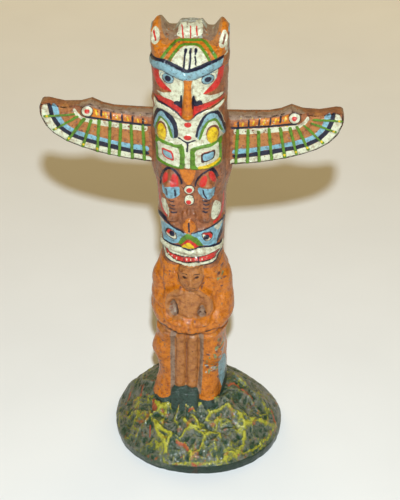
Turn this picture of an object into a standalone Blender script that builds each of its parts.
"""A painted toy totem pole of moulded composition, standing on a rocky mound.

The pole is one moulding: a bird's head with ears and a crest, its body and wings, its legs, a bear's head,
and the bear's body holding a small figure. The mound is a second piece with a socket for the pole's foot.

Frame: metres, +Z up, the front faces -Y, and the mound's underside is at Z = 0.
"""

import math

import bmesh
import bpy
from mathutils import Matrix, Vector, noise

# Driving sizes
TOTEM_HEIGHT = 0.165
COLUMN_WIDTH = 0.0252
COLUMN_DEPTH = 0.0220
WING_SPAN = 0.1024
WING_THICKNESS = 0.0048
WING_SET_BACK = 0.0025
WING_EDGE_ROUNDING = 0.0007
RIB_RADIUS = 0.0009
RIB_RISE = 0.0004
ARM_RISE = 0.0006
EYE_RISE = 0.0008
BASE_WIDTH = 0.0642
BASE_DEPTH = 0.0652
BASE_OFFSET = 0.0026
MOUND_HEIGHT = 0.0190
RIM_HEIGHT = 0.0034
SOCKET_FLOOR = 0.0050
FIT_CLEARANCE = 0.0003
FACET_ALLOWANCE = 0.0001

# The carving is laid out on a grid of squares, close to a millimetre each at the sizes above.
GRID_HEIGHT = 165.0
GRID_WIDTH = 25.2
GRID_DEPTH = 22.0
GRID_SPAN = 102.4
UP = TOTEM_HEIGHT / GRID_HEIGHT
ACROSS = COLUMN_WIDTH / GRID_WIDTH
DEEP = COLUMN_DEPTH / GRID_DEPTH
OUT = WING_SPAN / GRID_SPAN

# How finely the forms are meshed
COLUMN_SIDES = 72
COLUMN_ROWS = 136
CROWN_ROWS = 12
FOOT_ROWS = 2
COLUMN_KEPT = 0.27
FRONT_DENSITY = 0.38
BASE_SIDES = 60
BASE_ROWS = 24
BASE_UNDER_ROWS = 2
BASE_WALL_ROWS = 3

# Column sections on the grid: height, half width, front depth, back depth, how far the axis stands to the right
SECTIONS = (
    (0.0, 13.4, 15.6, 10.2, 0.6),
    (14.0, 13.4, 15.6, 10.2, 0.6),
    (20.0, 12.7, 13.6, 9.8, 0.8),
    (27.0, 12.4, 12.6, 9.6, 0.8),
    (36.0, 12.7, 12.6, 10.0, 0.5),
    (44.5, 11.9, 12.8, 10.0, 0.9),
    (50.0, 13.4, 14.0, 11.0, 0.9),
    (58.0, 13.6, 14.2, 11.6, 1.0),
    (65.5, 13.1, 13.6, 11.4, 0.9),
    (71.5, 12.7, 12.8, 10.8, 0.9),
    (77.0, 10.6, 11.6, 9.8, 0.8),
    (81.0, 11.4, 12.2, 9.4, 0.7),
    (97.0, 11.8, 12.0, 9.4, 0.5),
    (117.0, 12.0, 11.8, 9.4, 0.2),
    (134.0, 12.3, 12.0, 9.5, 0.0),
    (141.0, 12.4, 12.6, 9.8, 0.0),
    (151.0, 12.7, 13.0, 10.0, 0.0),
    (166.0, 12.8, 12.6, 9.8, 0.1),
)
SQUARENESS = 2.3
HEAD_FOOT = 134.0
# The pole keeps its foot's plan up to a share of the mound's height, and stays inside that plan a little higher
FOOT_SHARE = 0.72
FOOT_BLEND = 1.5
LAP_SHARE = 1.25

# The carving fades out between these angles from the front
CARVING_FADE = (60.0, 98.0)
# How full the bumps and the ridges are in section
BUMP_ROUNDNESS = 0.8
RIDGE_ROUNDNESS = 2.2
# Carved bumps on the front: across, height, half width, half height, rise. Each group keeps its highest form.
BUMP_GROUPS = (
    # The bird's eye sockets, and the eyeballs in them
    ((-6.0, 147.6, 4.2, 3.6, -0.7), (6.2, 147.6, 4.2, 3.6, -0.7)),
    ((-6.2, 148.9, 2.6, 2.2, 0.7), (6.4, 149.0, 2.6, 2.2, 0.7)),
    # Nostril wings beside the beak
    ((-3.4, 141.6, 1.7, 1.8, 0.7), (3.6, 141.6, 1.7, 1.8, 0.7)),
    # The bird's breast ovals
    ((-8.4, 129.3, 3.4, 7.2, 0.9), (8.2, 129.0, 3.4, 7.2, 0.9)),
    # Its thighs
    ((-5.7, 111.9, 3.6, 5.0, 1.7), (6.4, 111.9, 3.6, 5.0, 1.7)),
    # The claws on the bear's forehead
    ((-4.7, 97.6, 1.7, 2.4, 1.0), (0.4, 98.4, 2.6, 3.0, 0.8), (5.3, 97.8, 1.7, 2.4, 1.0)),
    # The discs between the bird's legs
    ((0.4, 108.5, 1.9, 1.9, 0.5), (0.5, 104.4, 1.9, 2.0, 0.5)),
    # The bear's eyes
    ((-6.1, 89.4, 2.8, 2.0, 0.7), (6.4, 89.3, 2.8, 2.0, 0.7)),
    # The held figure: head, chest
    ((1.0, 75.4, 5.0, 6.8, 3.7),),
    ((0.4, 62.5, 5.4, 8.6, 1.4),),
    # The hollows inside its elbows
    ((-5.2, 60.6, 1.7, 3.6, -1.3), (4.7, 60.4, 1.7, 3.6, -1.3)),
    # The bear's knees
    ((-10.2, 42.6, 3.8, 5.0, 1.0), (8.0, 42.6, 4.2, 5.0, 1.0)),
)

# Carved ridges on the front: the points they run through, half width, rise. Each group keeps its highest form.
RIDGE_GROUPS = (
    # The bird's brow
    ((((-13.0, 152.6), (-8.0, 153.6), (-0.2, 151.0), (7.6, 153.8), (13.0, 154.2)), 2.0, 0.9),),
    # Its mouth corners and lower bill
    (
        (((-11.5, 139.0), (-6.2, 138.4), (-2.2, 136.4), (2.2, 136.4), (6.4, 138.4), (11.5, 139.2)), 1.5, 0.8),
    ),
    # The breast arcs round the ovals
    (
        (((-12.2, 129.0), (-10.8, 134.4), (-8.3, 136.4), (-5.6, 134.6), (-4.2, 131.4), (-3.8, 128.2)), 1.4, 0.5),
        (((3.2, 128.4), (3.8, 132.0), (5.6, 135.2), (8.8, 136.2), (11.2, 133.0), (12.2, 127.8)), 1.4, 0.5),
    ),
    # The shins
    (
        (((-5.9, 110.0), (-5.7, 104.0), (-5.0, 97.8)), 2.3, 1.2),
        (((6.2, 110.0), (6.0, 104.0), (5.4, 97.8)), 2.3, 1.2),
    ),
    # The bear's brows
    (
        (((-12.0, 95.6), (-7.8, 94.2), (-3.8, 92.6), (0.4, 91.2)), 1.6, 0.6),
        (((12.0, 94.2), (8.4, 93.4), (4.2, 92.3), (0.4, 91.2)), 1.6, 0.6),
    ),
    # Its snout
    ((((0.4, 95.0), (0.4, 90.6), (0.5, 86.6)), 2.8, 1.2),),
    # Its lips
    (
        (((-10.6, 85.0), (-8.6, 82.0), (-5.0, 80.4), (0.6, 79.8), (6.0, 80.2), (9.6, 81.4), (11.4, 84.2)), 2.0, 1.4),
        (((-10.0, 85.0), (-6.4, 84.8), (-3.0, 85.0), (0.5, 84.2), (4.0, 84.6), (7.6, 84.2), (11.0, 83.6)), 1.8, 1.4),
    ),
    # The bear's arms, which meet below the held figure
    (
        (((-8.6, 77.6), (-11.8, 73.6), (-12.8, 66.0), (-12.0, 58.6), (-8.0, 54.8), (0.6, 53.4)), 4.2, 2.4),
        (((9.8, 77.4), (13.4, 73.6), (14.6, 66.0), (13.8, 58.0), (9.6, 54.4), (0.6, 53.4)), 4.2, 2.4),
    ),
    # The held figure's arms
    (
        (((-2.6, 68.6), (-6.6, 66.4), (-7.9, 61.4), (-5.4, 57.0), (-2.6, 56.6)), 1.8, 1.7),
        (((4.0, 68.8), (6.6, 66.6), (7.5, 60.6), (5.4, 57.0), (3.0, 56.6)), 1.8, 1.7),
    ),
    # The bear's legs and feet
    (
        (((-10.4, 49.0), (-10.6, 42.0), (-10.0, 33.0), (-10.2, 24.0), (-10.4, 14.0)), 3.9, 2.2),
        (((8.0, 49.0), (8.2, 42.0), (7.6, 33.0), (7.0, 24.0), (7.2, 14.0)), 3.9, 2.2),
    ),
    # The held figure's legs
    (
        (((-2.8, 50.0), (-2.9, 38.0), (-3.2, 26.4)), 2.1, 1.1),
        (((1.6, 50.0), (1.4, 38.0), (1.2, 26.4)), 2.1, 1.1),
    ),
)

# The beak: middle, half width, top and tip heights, and its rise at both
BEAK_MIDDLE = 0.2
BEAK_HALF_WIDTH = 2.2
BEAK_TOP = 150.0
BEAK_TIP = 135.6
BEAK_RISE_TOP = 0.7
BEAK_RISE_TIP = 2.7
# The beak's width at its top, and at the very end of its tip, as shares of its full width; where the tip rounds off
BEAK_TOP_SHARE = 0.75
BEAK_END_SHARE = 0.35
BEAK_ROUNDING_START = 0.86
# The two plates on the bird's breast, side by side
PLATE_RANGE = (116.6, 126.0)
PLATE_HALF_WIDTH = 11.4
PLATE_RISE = 0.6
PLATE_EDGE = 0.5
# The red groove of the bear's mouth
MOUTH_GROOVE = ((-8.6, 82.8), (-5.4, 82.1), (0.6, 81.6), (6.0, 81.6), (9.8, 82.0))
MOUTH_GROOVE_WIDTH = 1.3
MOUTH_GROOVE_DEPTH = -1.0
# The lap line under the bear's arms
LAP_LINE = ((-13.5, 51.4), (-7.0, 50.4), (-4.0, 49.4), (0.5, 49.0), (5.0, 49.6), (9.0, 50.8), (14.0, 51.0))
LAP_LINE_WIDTH = 0.9
LAP_LINE_DEPTH = -0.9
# The block under the held figure's feet: across, half width, top, rise
BLOCK_MIDDLE = -1.2
BLOCK_HALF_WIDTH = 5.4
BLOCK_FLAT_SHARE = 0.72
BLOCK_TOP = 25.4
BLOCK_EDGE = 2.2
BLOCK_RISE = 2.6
# The fillet that carries each wing's root: where it starts, is full and ends, its reach, its half width front to back
FILLET_FOOT = 101.5
FILLET_TOP = 111.0
FILLET_END = (131.0, 135.0)
FILLET_REACH = 2.6
FILLET_HALF_DEPTH = 5.0

# The crown: level of its top, how far the forehead falls, where it starts to fall
CROWN_LEVEL = 161.6
FOREHEAD_DROP = 8.0
FOREHEAD_START = 2.0
FOREHEAD_RUN = 14.6
FOREHEAD_CURVE = 2.3
NAPE_DROP = 2.6
NAPE_RUN = 8.0
EAR_RISE = 3.5
EAR_INNER = 7.4
EAR_RIDGE = 10.6
EAR_MIDDLE = 2.6
EAR_HALF_DEPTH = 7.4
CREST_RISE = 2.3
CREST_HALF_WIDTH = 5.7
CREST_SOFT_EDGE = 2.6
CREST_FRONT = -4.6
CREST_FRONT_RUN = 4.2
CREST_BACK = 8.2
CREST_BACK_RUN = 3.4
CREST_MIDDLE = 0.3
# How far the crown's edge is rounded off at the sides and behind, and the share of its width that this starts at
CROWN_EDGE_DROP = 1.1
CROWN_EDGE_START = 0.86

# The wing's outline from the root along the top to the tip and back below, on the grid
WING_TOP = ((9.0, 131.0), (18.0, 131.1), (26.4, 131.4), (30.2, 132.3), (33.6, 133.9), (37.4, 132.6), (43.0, 132.3))
WING_TIP = ((49.6, 133.6), (51.2, 132.0), (51.2, 129.4), (49.4, 124.8), (46.7, 121.8))
WING_UNDER = ((42.5, 119.0), (37.7, 117.0), (33.0, 115.4), (28.0, 114.3), (22.5, 113.2), (14.7, 112.2), (9.0, 111.8))
WING_ARM = ((13.0, 127.6), (36.0, 129.4))
WING_ARM_HALF_HEIGHT = 1.5
WING_EYE_RADIUS = 2.3
ARM_FLATNESS = 0.5
EYE_FLATNESS = 0.6
RIB_FEET = ((15.0, 112.8), (19.5, 113.2), (24.0, 113.9), (28.5, 114.8), (33.0, 115.9), (37.4, 117.4), (41.6, 119.3),
            (46.0, 122.4), (49.6, 127.8))
RIB_HEADS = ((15.4, 124.6), (19.6, 125.0), (23.6, 125.4), (27.6, 125.8), (31.4, 126.2), (34.6, 126.4), (37.2, 126.8),
             (39.2, 127.6), (40.2, 128.8))

# The mound: how it swells, where it levels out at the pole, and its rocks
MOUND_LEVEL_SHARE = 0.43
WALL_TUCK = 0.012
ROCK_SPACING = 0.0105
ROCK_RISE = 0.0016
# The smaller rocks on them: how much closer together, and their share of the rise
SMALL_ROCK_SCALE = 2.1
SMALL_ROCK_SHARE = 0.5
RIM_WAVER = 0.012
RIM_WAVES = 3.1
# Round the mound from behind over the left, the front and the right: angle, rim reach, top level, curve
MOUND_SIDES = (
    (-180.0, 1.0, 0.84, 1.1),
    (-140.0, 1.0, 0.96, 1.2),
    (-90.0, 0.99, 1.04, 1.4),
    (-45.0, 1.02, 0.94, 1.3),
    (0.0, 1.0, 0.92, 1.2),
    (45.0, 1.03, 0.98, 1.3),
    (90.0, 1.0, 1.08, 1.5),
    (135.0, 0.92, 0.80, 1.0),
    (180.0, 1.0, 0.84, 1.1),
)
# Folds in the mound's flanks: points as shares of its half width and half depth from the middle of the pole
FOLD_HALF_WIDTH = 0.11
FOLD_RISE = 0.0016
FOLDS = (
    ((0.44, -0.31), (0.69, -0.18), (1.03, -0.12)),
    ((0.50, -0.37), (0.69, -0.55), (0.93, -0.37)),
    ((-0.40, -0.52), (-0.31, -0.71), (-0.19, -0.80)),
    ((-0.06, -0.52), (0.12, -0.74), (0.44, -0.80)),
    ((-0.44, -0.12), (-0.69, 0.06), (-0.81, 0.31)),
)
SHARP_ANGLE = 50.0


def smooth_step(start, end, value):
    """Rise smoothly from 0 at start to 1 at end."""
    share = min(1.0, max(0.0, (value - start) / (end - start)))
    return share * share * (3.0 - 2.0 * share)


def curve_through(rows, height):
    """Read a table of rows at a height, with a smooth curve through its values."""
    last = len(rows) - 1
    index = 0
    while index < last - 1 and height > rows[index + 1][0]:
        index += 1
    before = rows[max(index - 1, 0)]
    low = rows[index]
    high = rows[index + 1]
    after = rows[min(index + 2, last)]
    share = min(1.0, max(0.0, (height - low[0]) / (high[0] - low[0])))
    values = []
    for column in range(1, len(low)):
        span = high[0] - low[0]
        leave = (high[column] - before[column]) / max(high[0] - before[0], span) * span
        arrive = (after[column] - low[column]) / max(after[0] - low[0], span) * span
        square = share * share
        cube = square * share
        value = (2 * cube - 3 * square + 1) * low[column] + (cube - 2 * square + share) * leave
        value += (3 * square - 2 * cube) * high[column] + (cube - square) * arrive
        values.append(value)
    return values


def plan_radius(angle, half_width, front, back):
    """Distance from the axis to a rounded plan's edge; the angle is 0 at the front and grows to the right."""
    depth = front if math.cos(angle) > 0.0 else back
    across_share = abs(math.sin(angle)) / half_width
    depth_share = abs(math.cos(angle)) / depth
    return (across_share ** SQUARENESS + depth_share ** SQUARENESS) ** (-1.0 / SQUARENESS)


def distance_to_path(across, height, path):
    """Distance from a point to a chain of straight runs."""
    nearest = None
    for start, end in zip(path, path[1:]):
        run = (end[0] - start[0], end[1] - start[1])
        offset = (across - start[0], height - start[1])
        share = (offset[0] * run[0] + offset[1] * run[1]) / (run[0] ** 2 + run[1] ** 2)
        share = min(1.0, max(0.0, share))
        gap = math.hypot(offset[0] - run[0] * share, offset[1] - run[1] * share)
        nearest = gap if nearest is None else min(nearest, gap)
    return nearest


def highest(values):
    """The value furthest from zero."""
    return max(values, key=abs, default=0.0)


def bump_rise(bump, across, height):
    """Rise of a rounded oval form."""
    middle, level, half_width, half_height, rise = bump
    share = ((across - middle) / half_width) ** 2 + ((height - level) / half_height) ** 2
    return rise * (1.0 - share) ** BUMP_ROUNDNESS if share < 1.0 else 0.0


def ridge_rise(path, half_width, rise, across, height):
    """Rise of a rounded ridge along a path."""
    share = distance_to_path(across, height, path) / half_width
    return rise * (1.0 - share ** RIDGE_ROUNDNESS) if share < 1.0 else 0.0


def beak_rise(across, height):
    """Rise of the beak, which grows towards its rounded tip."""
    along = (BEAK_TOP - height) / (BEAK_TOP - BEAK_TIP)
    if along < 0.0 or along > 1.0:
        return 0.0
    tip_rounding = 1.0 - smooth_step(BEAK_ROUNDING_START, 1.0, along) ** 2
    taper = BEAK_TOP_SHARE + (1.0 - BEAK_TOP_SHARE) * along
    half_width = BEAK_HALF_WIDTH * taper * max(BEAK_END_SHARE, tip_rounding)
    side = (across - BEAK_MIDDLE) / half_width
    if abs(side) >= 1.0:
        return 0.0
    rise = BEAK_RISE_TOP + (BEAK_RISE_TIP - BEAK_RISE_TOP) * smooth_step(0.0, 0.75, along)
    return rise * (1.0 - side ** 2) * tip_rounding


def front_relief(across, height):
    """Rise of all the carving on the front at a point of the grid."""
    rise = 0.0
    for group in BUMP_GROUPS:
        rise += highest(bump_rise(bump, across, height) for bump in group)
    for group in RIDGE_GROUPS:
        rise += highest(ridge_rise(path, width, top, across, height) for path, width, top in group)
    rise += beak_rise(across, height)
    rise += ridge_rise(MOUTH_GROOVE, MOUTH_GROOVE_WIDTH, MOUTH_GROOVE_DEPTH, across, height)
    rise += ridge_rise(LAP_LINE, LAP_LINE_WIDTH, LAP_LINE_DEPTH, across, height)
    plate_low, plate_high = PLATE_RANGE
    plate = smooth_step(plate_low - PLATE_EDGE, plate_low + PLATE_EDGE, height)
    plate -= smooth_step(plate_high - PLATE_EDGE * 2, plate_high + PLATE_EDGE * 2, height)
    plate *= 1.0 - smooth_step(PLATE_HALF_WIDTH - PLATE_EDGE * 2, PLATE_HALF_WIDTH, abs(across))
    rise += PLATE_RISE * plate
    block_side = 1.0 - smooth_step(BLOCK_FLAT_SHARE, 1.0, abs(across - BLOCK_MIDDLE) / BLOCK_HALF_WIDTH)
    rise += BLOCK_RISE * block_side * (1.0 - smooth_step(BLOCK_TOP - BLOCK_EDGE, BLOCK_TOP, height))
    return rise


def column_radius(angle, height):
    """Distance of the pole's surface from its axis, on the grid."""
    half_width, front, back, shift = curve_through(SECTIONS, height)
    radius = plan_radius(angle, half_width, front, back)
    facing = 1.0 - smooth_step(CARVING_FADE[0], CARVING_FADE[1], math.degrees(abs(angle)))
    if facing > 0.0:
        radius += facing * front_relief(radius * math.sin(angle) + shift, height)
    depth_here = -radius * math.cos(angle) - WING_SET_BACK / DEEP
    side_share = min(1.0, abs(depth_here) / FILLET_HALF_DEPTH)
    fillet = smooth_step(FILLET_FOOT, FILLET_TOP, height) - smooth_step(FILLET_END[0], FILLET_END[1], height)
    radius += FILLET_REACH * fillet * (1.0 - side_share ** 2) ** 2
    foot = foot_radius(angle)
    foot_top = MOUND_HEIGHT * FOOT_SHARE / UP
    if height < MOUND_HEIGHT * LAP_SHARE / UP:
        radius = min(radius, foot)
    shown = smooth_step(foot_top, foot_top + FOOT_BLEND, height)
    return foot + (radius - foot) * shown


def foot_radius(angle):
    """Plan of the pole's foot, which the mound's socket follows."""
    return plan_radius(angle, *SECTIONS[0][1:4])


def crown_height(across, deep):
    """Height of the crown's top on the grid, with its forehead, ears and crest."""
    before = max(0.0, FOREHEAD_START - deep) / FOREHEAD_RUN
    behind = max(0.0, deep - FOREHEAD_START) / NAPE_RUN
    height = CROWN_LEVEL - FOREHEAD_DROP * before ** FOREHEAD_CURVE - NAPE_DROP * behind ** 2
    ear_depth = min(1.0, abs(deep - EAR_MIDDLE) / EAR_HALF_DEPTH)
    ear = smooth_step(EAR_INNER, EAR_RIDGE, abs(across)) * (1.0 - ear_depth ** 2)
    crest = 1.0 - smooth_step(CREST_HALF_WIDTH - CREST_SOFT_EDGE, CREST_HALF_WIDTH, abs(across - CREST_MIDDLE))
    crest *= smooth_step(CREST_FRONT, CREST_FRONT + CREST_FRONT_RUN, deep)
    crest *= 1.0 - smooth_step(CREST_BACK - CREST_BACK_RUN, CREST_BACK, deep)
    return height + EAR_RISE * ear + CREST_RISE * crest


def crown_edge_drop(angle, share):
    """How far the crown is rounded off near its edge; the forehead keeps its sharp edge."""
    beside_and_behind = smooth_step(-0.2, 0.6, 0.5 - math.cos(angle))
    return CROWN_EDGE_DROP * smooth_step(CROWN_EDGE_START, 1.0, share) ** 2 * beside_and_behind


def on_grid(angle, radius, height):
    """A point of the carving grid as a real place."""
    across = radius * math.sin(angle) + curve_through(SECTIONS, height)[-1]
    deep = -radius * math.cos(angle)
    return Vector((across * ACROSS, deep * DEEP, height * UP))


def front_loaded(turn):
    """Turn an even angle into one that is closer spaced at the front."""
    return turn - FRONT_DENSITY * math.sin(turn)


def row_and_turn(direction, rows):
    """Row from the top and angle from the front of a vertex on a unit ball."""
    row = round(math.acos(max(-1.0, min(1.0, direction.z))) / math.pi * rows)
    return row, math.atan2(direction.x, -direction.y)


def object_from(mesh_maker, name, collection, material):
    """Write a bmesh to a new object in a collection."""
    mesh = bpy.data.meshes.new(name)
    mesh_maker.to_mesh(mesh)
    mesh_maker.free()
    thing = bpy.data.objects.new(name, mesh)
    collection.objects.link(thing)
    if material is not None:
        mesh.materials.append(material)
    return thing


def make_column(collection, material):
    """The pole without its wings, from a ball whose rows become its foot, sides and crown."""
    ball = bmesh.new()
    bmesh.ops.create_uvsphere(ball, u_segments=COLUMN_SIDES, v_segments=COLUMN_ROWS, radius=1.0)
    foot_bottom = (SOCKET_FLOOR + FIT_CLEARANCE) / UP
    side_rows = COLUMN_ROWS - CROWN_ROWS - FOOT_ROWS
    for vertex in ball.verts:
        row, turn = row_and_turn(vertex.co, COLUMN_ROWS)
        angle = front_loaded(turn)
        if row <= CROWN_ROWS:
            share = row / CROWN_ROWS
            rim = column_radius(angle, GRID_HEIGHT)
            edge = rim * share
            height = crown_height(edge * math.sin(angle), -edge * math.cos(angle))
            height -= crown_edge_drop(angle, share)
            vertex.co = on_grid(angle, edge, height)
        elif row <= CROWN_ROWS + side_rows:
            share = (row - CROWN_ROWS) / side_rows
            height = GRID_HEIGHT - (GRID_HEIGHT - foot_bottom) * share
            if height > HEAD_FOOT:
                rim = column_radius(angle, GRID_HEIGHT)
                top = crown_height(rim * math.sin(angle), -rim * math.cos(angle)) - crown_edge_drop(angle, 1.0)
                height = HEAD_FOOT + (height - HEAD_FOOT) / (GRID_HEIGHT - HEAD_FOOT) * (top - HEAD_FOOT)
            vertex.co = on_grid(angle, column_radius(angle, height), height)
        else:
            share = (COLUMN_ROWS - row) / FOOT_ROWS
            vertex.co = on_grid(angle, foot_radius(angle) * share, foot_bottom)
    column = object_from(ball, "totem_pole", collection, material)
    thinned = column.modifiers.new("thinned", "DECIMATE")
    thinned.ratio = COLUMN_KEPT
    return column


def make_wing_plate(name, side, collection):
    """One wing's flat body from its outline, with rounded edges."""
    outline = bpy.data.curves.new(name, "CURVE")
    outline.dimensions = "2D"
    outline.fill_mode = "BOTH"
    outline.extrude = WING_THICKNESS / 2
    points = WING_TOP + WING_TIP + WING_UNDER
    spline = outline.splines.new("POLY")
    spline.points.add(len(points) - 1)
    spline.use_cyclic_u = True
    for point, (out, height) in zip(spline.points, points):
        point.co = (side * out * OUT, height * UP, 0.0, 1.0)
    drawn = bpy.data.objects.new(name, outline)
    collection.objects.link(drawn)
    drawn.rotation_euler = (math.pi / 2, 0.0, 0.0)
    drawn.location = (0.0, WING_SET_BACK, 0.0)
    bpy.context.view_layer.update()
    evaluated = drawn.evaluated_get(bpy.context.evaluated_depsgraph_get())
    plate_mesh = bpy.data.meshes.new_from_object(evaluated)
    plate = bmesh.new()
    plate.from_mesh(plate_mesh)
    bmesh.ops.transform(plate, matrix=drawn.matrix_world, verts=plate.verts)
    bmesh.ops.remove_doubles(plate, verts=plate.verts, dist=0.00001)
    bmesh.ops.dissolve_limit(plate, angle_limit=0.01, verts=plate.verts, edges=plate.edges)
    bmesh.ops.recalc_face_normals(plate, faces=plate.faces)
    rims = [edge for edge in plate.edges if edge.calc_face_angle(0.0) > math.radians(60)]
    bmesh.ops.bevel(plate, geom=rims, offset=WING_EDGE_ROUNDING, offset_type="OFFSET", segments=2, profile=0.5,
                    affect="EDGES", material=-1)
    bpy.data.objects.remove(drawn)
    bpy.data.meshes.remove(plate_mesh)
    return object_from(plate, name, collection, None)


def rod_between(name, start, end, radius, sides, flatness, collection):
    """A straight rod from start to end, flattened front to back."""
    rod = bmesh.new()
    run = end - start
    bmesh.ops.create_cone(rod, cap_ends=True, segments=sides, radius1=radius, radius2=radius, depth=run.length)
    turn = run.to_track_quat("Z", "Y").to_matrix().to_4x4()
    bmesh.ops.transform(rod, matrix=turn, verts=rod.verts)
    bmesh.ops.scale(rod, vec=(1.0, flatness, 1.0), verts=rod.verts)
    bmesh.ops.translate(rod, vec=(start + end) / 2, verts=rod.verts)
    return object_from(rod, name, collection, None)


def wing_place(side, out, height, deep):
    """A point of the wing's own outline grid as a real place."""
    return Vector((side * out * OUT, deep, height * UP))


def make_wing(name, side, collection):
    """One wing with its arm, eye and feather ribs in low relief."""
    plate = make_wing_plate(name, side, collection)
    front = WING_SET_BACK - WING_THICKNESS / 2
    raised = []
    for number, (head, foot) in enumerate(zip(RIB_HEADS, RIB_FEET)):
        deep = front + RIB_RADIUS - RIB_RISE
        start = wing_place(side, *head, deep)
        end = wing_place(side, *foot, deep)
        raised.append(rod_between(f"{name}_rib_{number + 1}", start, end, RIB_RADIUS, 8, 1.0, collection))
    arm_radius = WING_ARM_HALF_HEIGHT * UP
    arm_deep = front + arm_radius * ARM_FLATNESS - ARM_RISE
    arm_ends = [wing_place(side, *end, arm_deep) for end in WING_ARM]
    raised.append(rod_between(f"{name}_arm", arm_ends[0], arm_ends[1], arm_radius, 10, ARM_FLATNESS, collection))
    eye = bmesh.new()
    eye_radius = WING_EYE_RADIUS * UP
    bmesh.ops.create_uvsphere(eye, u_segments=16, v_segments=8, radius=eye_radius)
    bmesh.ops.scale(eye, vec=(1.0, EYE_FLATNESS, 1.0), verts=eye.verts)
    eye_place = wing_place(side, *WING_ARM[1], front + eye_radius * EYE_FLATNESS - EYE_RISE)
    bmesh.ops.transform(eye, matrix=Matrix.Translation(eye_place), verts=eye.verts)
    raised.append(object_from(eye, f"{name}_eye", collection, None))
    unite(plate, raised)
    return plate


def unite(target, others):
    """Join other closed objects to a target."""
    for other in others:
        join = target.modifiers.new(other.name, "BOOLEAN")
        join.operation = "UNION"
        join.solver = "EXACT"
        join.object = other


def make_socket_cutter(collection):
    """The space that the pole's foot stands in, cut from the mound."""
    cutter = bmesh.new()
    top = MOUND_HEIGHT * 2
    depth = top - SOCKET_FLOOR
    bmesh.ops.create_cone(cutter, cap_ends=True, segments=COLUMN_SIDES, radius1=1.0, radius2=1.0, depth=depth)
    for vertex in cutter.verts:
        angle = front_loaded(math.atan2(vertex.co.x, -vertex.co.y))
        radius = foot_radius(angle)
        across = radius * math.sin(angle) * ACROSS
        deep = -radius * math.cos(angle) * DEEP
        outward = Vector((across, deep, 0.0)).normalized() * (FIT_CLEARANCE + FACET_ALLOWANCE)
        vertex.co = Vector((across + SECTIONS[0][-1] * ACROSS, deep, vertex.co.z + (top + SOCKET_FLOOR) / 2)) + outward
    return object_from(cutter, "socket_cutter", collection, None)


def mound_height(across, deep, share, level, curve):
    """Height of the mound's top at a place whose distance from the middle is a share of the rim's."""
    swell = 1.0 - max(0.0, (share - MOUND_LEVEL_SHARE) / (1.0 - MOUND_LEVEL_SHARE)) ** curve
    height = RIM_HEIGHT + (MOUND_HEIGHT * level - RIM_HEIGHT) * swell
    spot = Vector((across, deep, height)) / ROCK_SPACING
    loose = smooth_step(1.0, 0.88, share) * smooth_step(0.36, 0.5, share)
    rocks = noise.noise(spot) + SMALL_ROCK_SHARE * noise.noise(spot * SMALL_ROCK_SCALE)
    along = across / (BASE_WIDTH / 2)
    back = deep / (BASE_DEPTH / 2)
    folds = max(ridge_rise(path, FOLD_HALF_WIDTH, FOLD_RISE, along, back) for path in FOLDS)
    return height + loose * (ROCK_RISE * rocks + folds)


def make_mound(collection, material):
    """The rocky mound, from a ball whose rows become its underside, wall and top."""
    ball = bmesh.new()
    bmesh.ops.create_uvsphere(ball, u_segments=BASE_SIDES, v_segments=BASE_ROWS, radius=1.0)
    top_rows = BASE_ROWS - BASE_UNDER_ROWS - BASE_WALL_ROWS
    for vertex in ball.verts:
        row, turn = row_and_turn(vertex.co, BASE_ROWS)
        direction = Vector((math.sin(turn), -math.cos(turn), 0.0))
        reach, level, curve = curve_through(MOUND_SIDES, math.degrees(turn))
        waver = reach - RIM_WAVER * (1.0 + noise.noise(direction * RIM_WAVES)) / 2
        edge = Vector((direction.x * BASE_WIDTH / 2, direction.y * BASE_DEPTH / 2, 0.0)) * waver
        middle = Vector((BASE_OFFSET, 0.0, 0.0))
        if row <= top_rows:
            share = row / top_rows
            place = middle + edge * share
            place.z = mound_height(place.x, place.y, share, level, curve)
        elif row <= top_rows + BASE_WALL_ROWS:
            share = (row - top_rows) / BASE_WALL_ROWS
            place = middle + edge * (1.0 - WALL_TUCK * share ** 2)
            place.z = RIM_HEIGHT * (1.0 - share)
        else:
            share = (BASE_ROWS - row) / BASE_UNDER_ROWS
            place = middle + edge * (1.0 - WALL_TUCK) * share
        vertex.co = place
    return object_from(ball, "ground_base", collection, material)


def make_material(name, colour, roughness):
    """A plain painted finish."""
    material = bpy.data.materials.new(name)
    material.use_nodes = True
    shader = material.node_tree.nodes["Principled BSDF"]
    shader.inputs["Base Color"].default_value = (*colour, 1.0)
    shader.inputs["Roughness"].default_value = roughness
    shader.inputs["Metallic"].default_value = 0.0
    return material


def make_collection(name):
    """A collection of the scene."""
    collection = bpy.data.collections.new(name)
    bpy.context.scene.collection.children.link(collection)
    return collection


def hide_helper(helper):
    """Mark an object as one that only shapes another."""
    helper.hide_render = True
    helper.display_type = "WIRE"


def main():
    """Build the pole and the mound."""
    for leftover in list(bpy.data.objects):
        bpy.data.objects.remove(leftover)
    totem = make_collection("totem")
    cutters = make_collection("cutters")
    varnished = make_material("varnished painted composition", (0.42, 0.15, 0.04), 0.3)
    mossy = make_material("dark green painted composition", (0.05, 0.08, 0.04), 0.45)

    column = make_column(totem, varnished)
    wings = [make_wing("left_wing", -1, cutters), make_wing("right_wing", 1, cutters)]
    unite(column, wings)

    mound = make_mound(totem, mossy)
    cut = mound.modifiers.new("socket", "BOOLEAN")
    cut.operation = "DIFFERENCE"
    cut.solver = "EXACT"
    cut.object = make_socket_cutter(cutters)

    for helper in cutters.objects:
        hide_helper(helper)
    for piece in (column, mound):
        piece.data.shade_smooth()
        piece.data.set_sharp_from_angle(angle=math.radians(SHARP_ANGLE))


main()
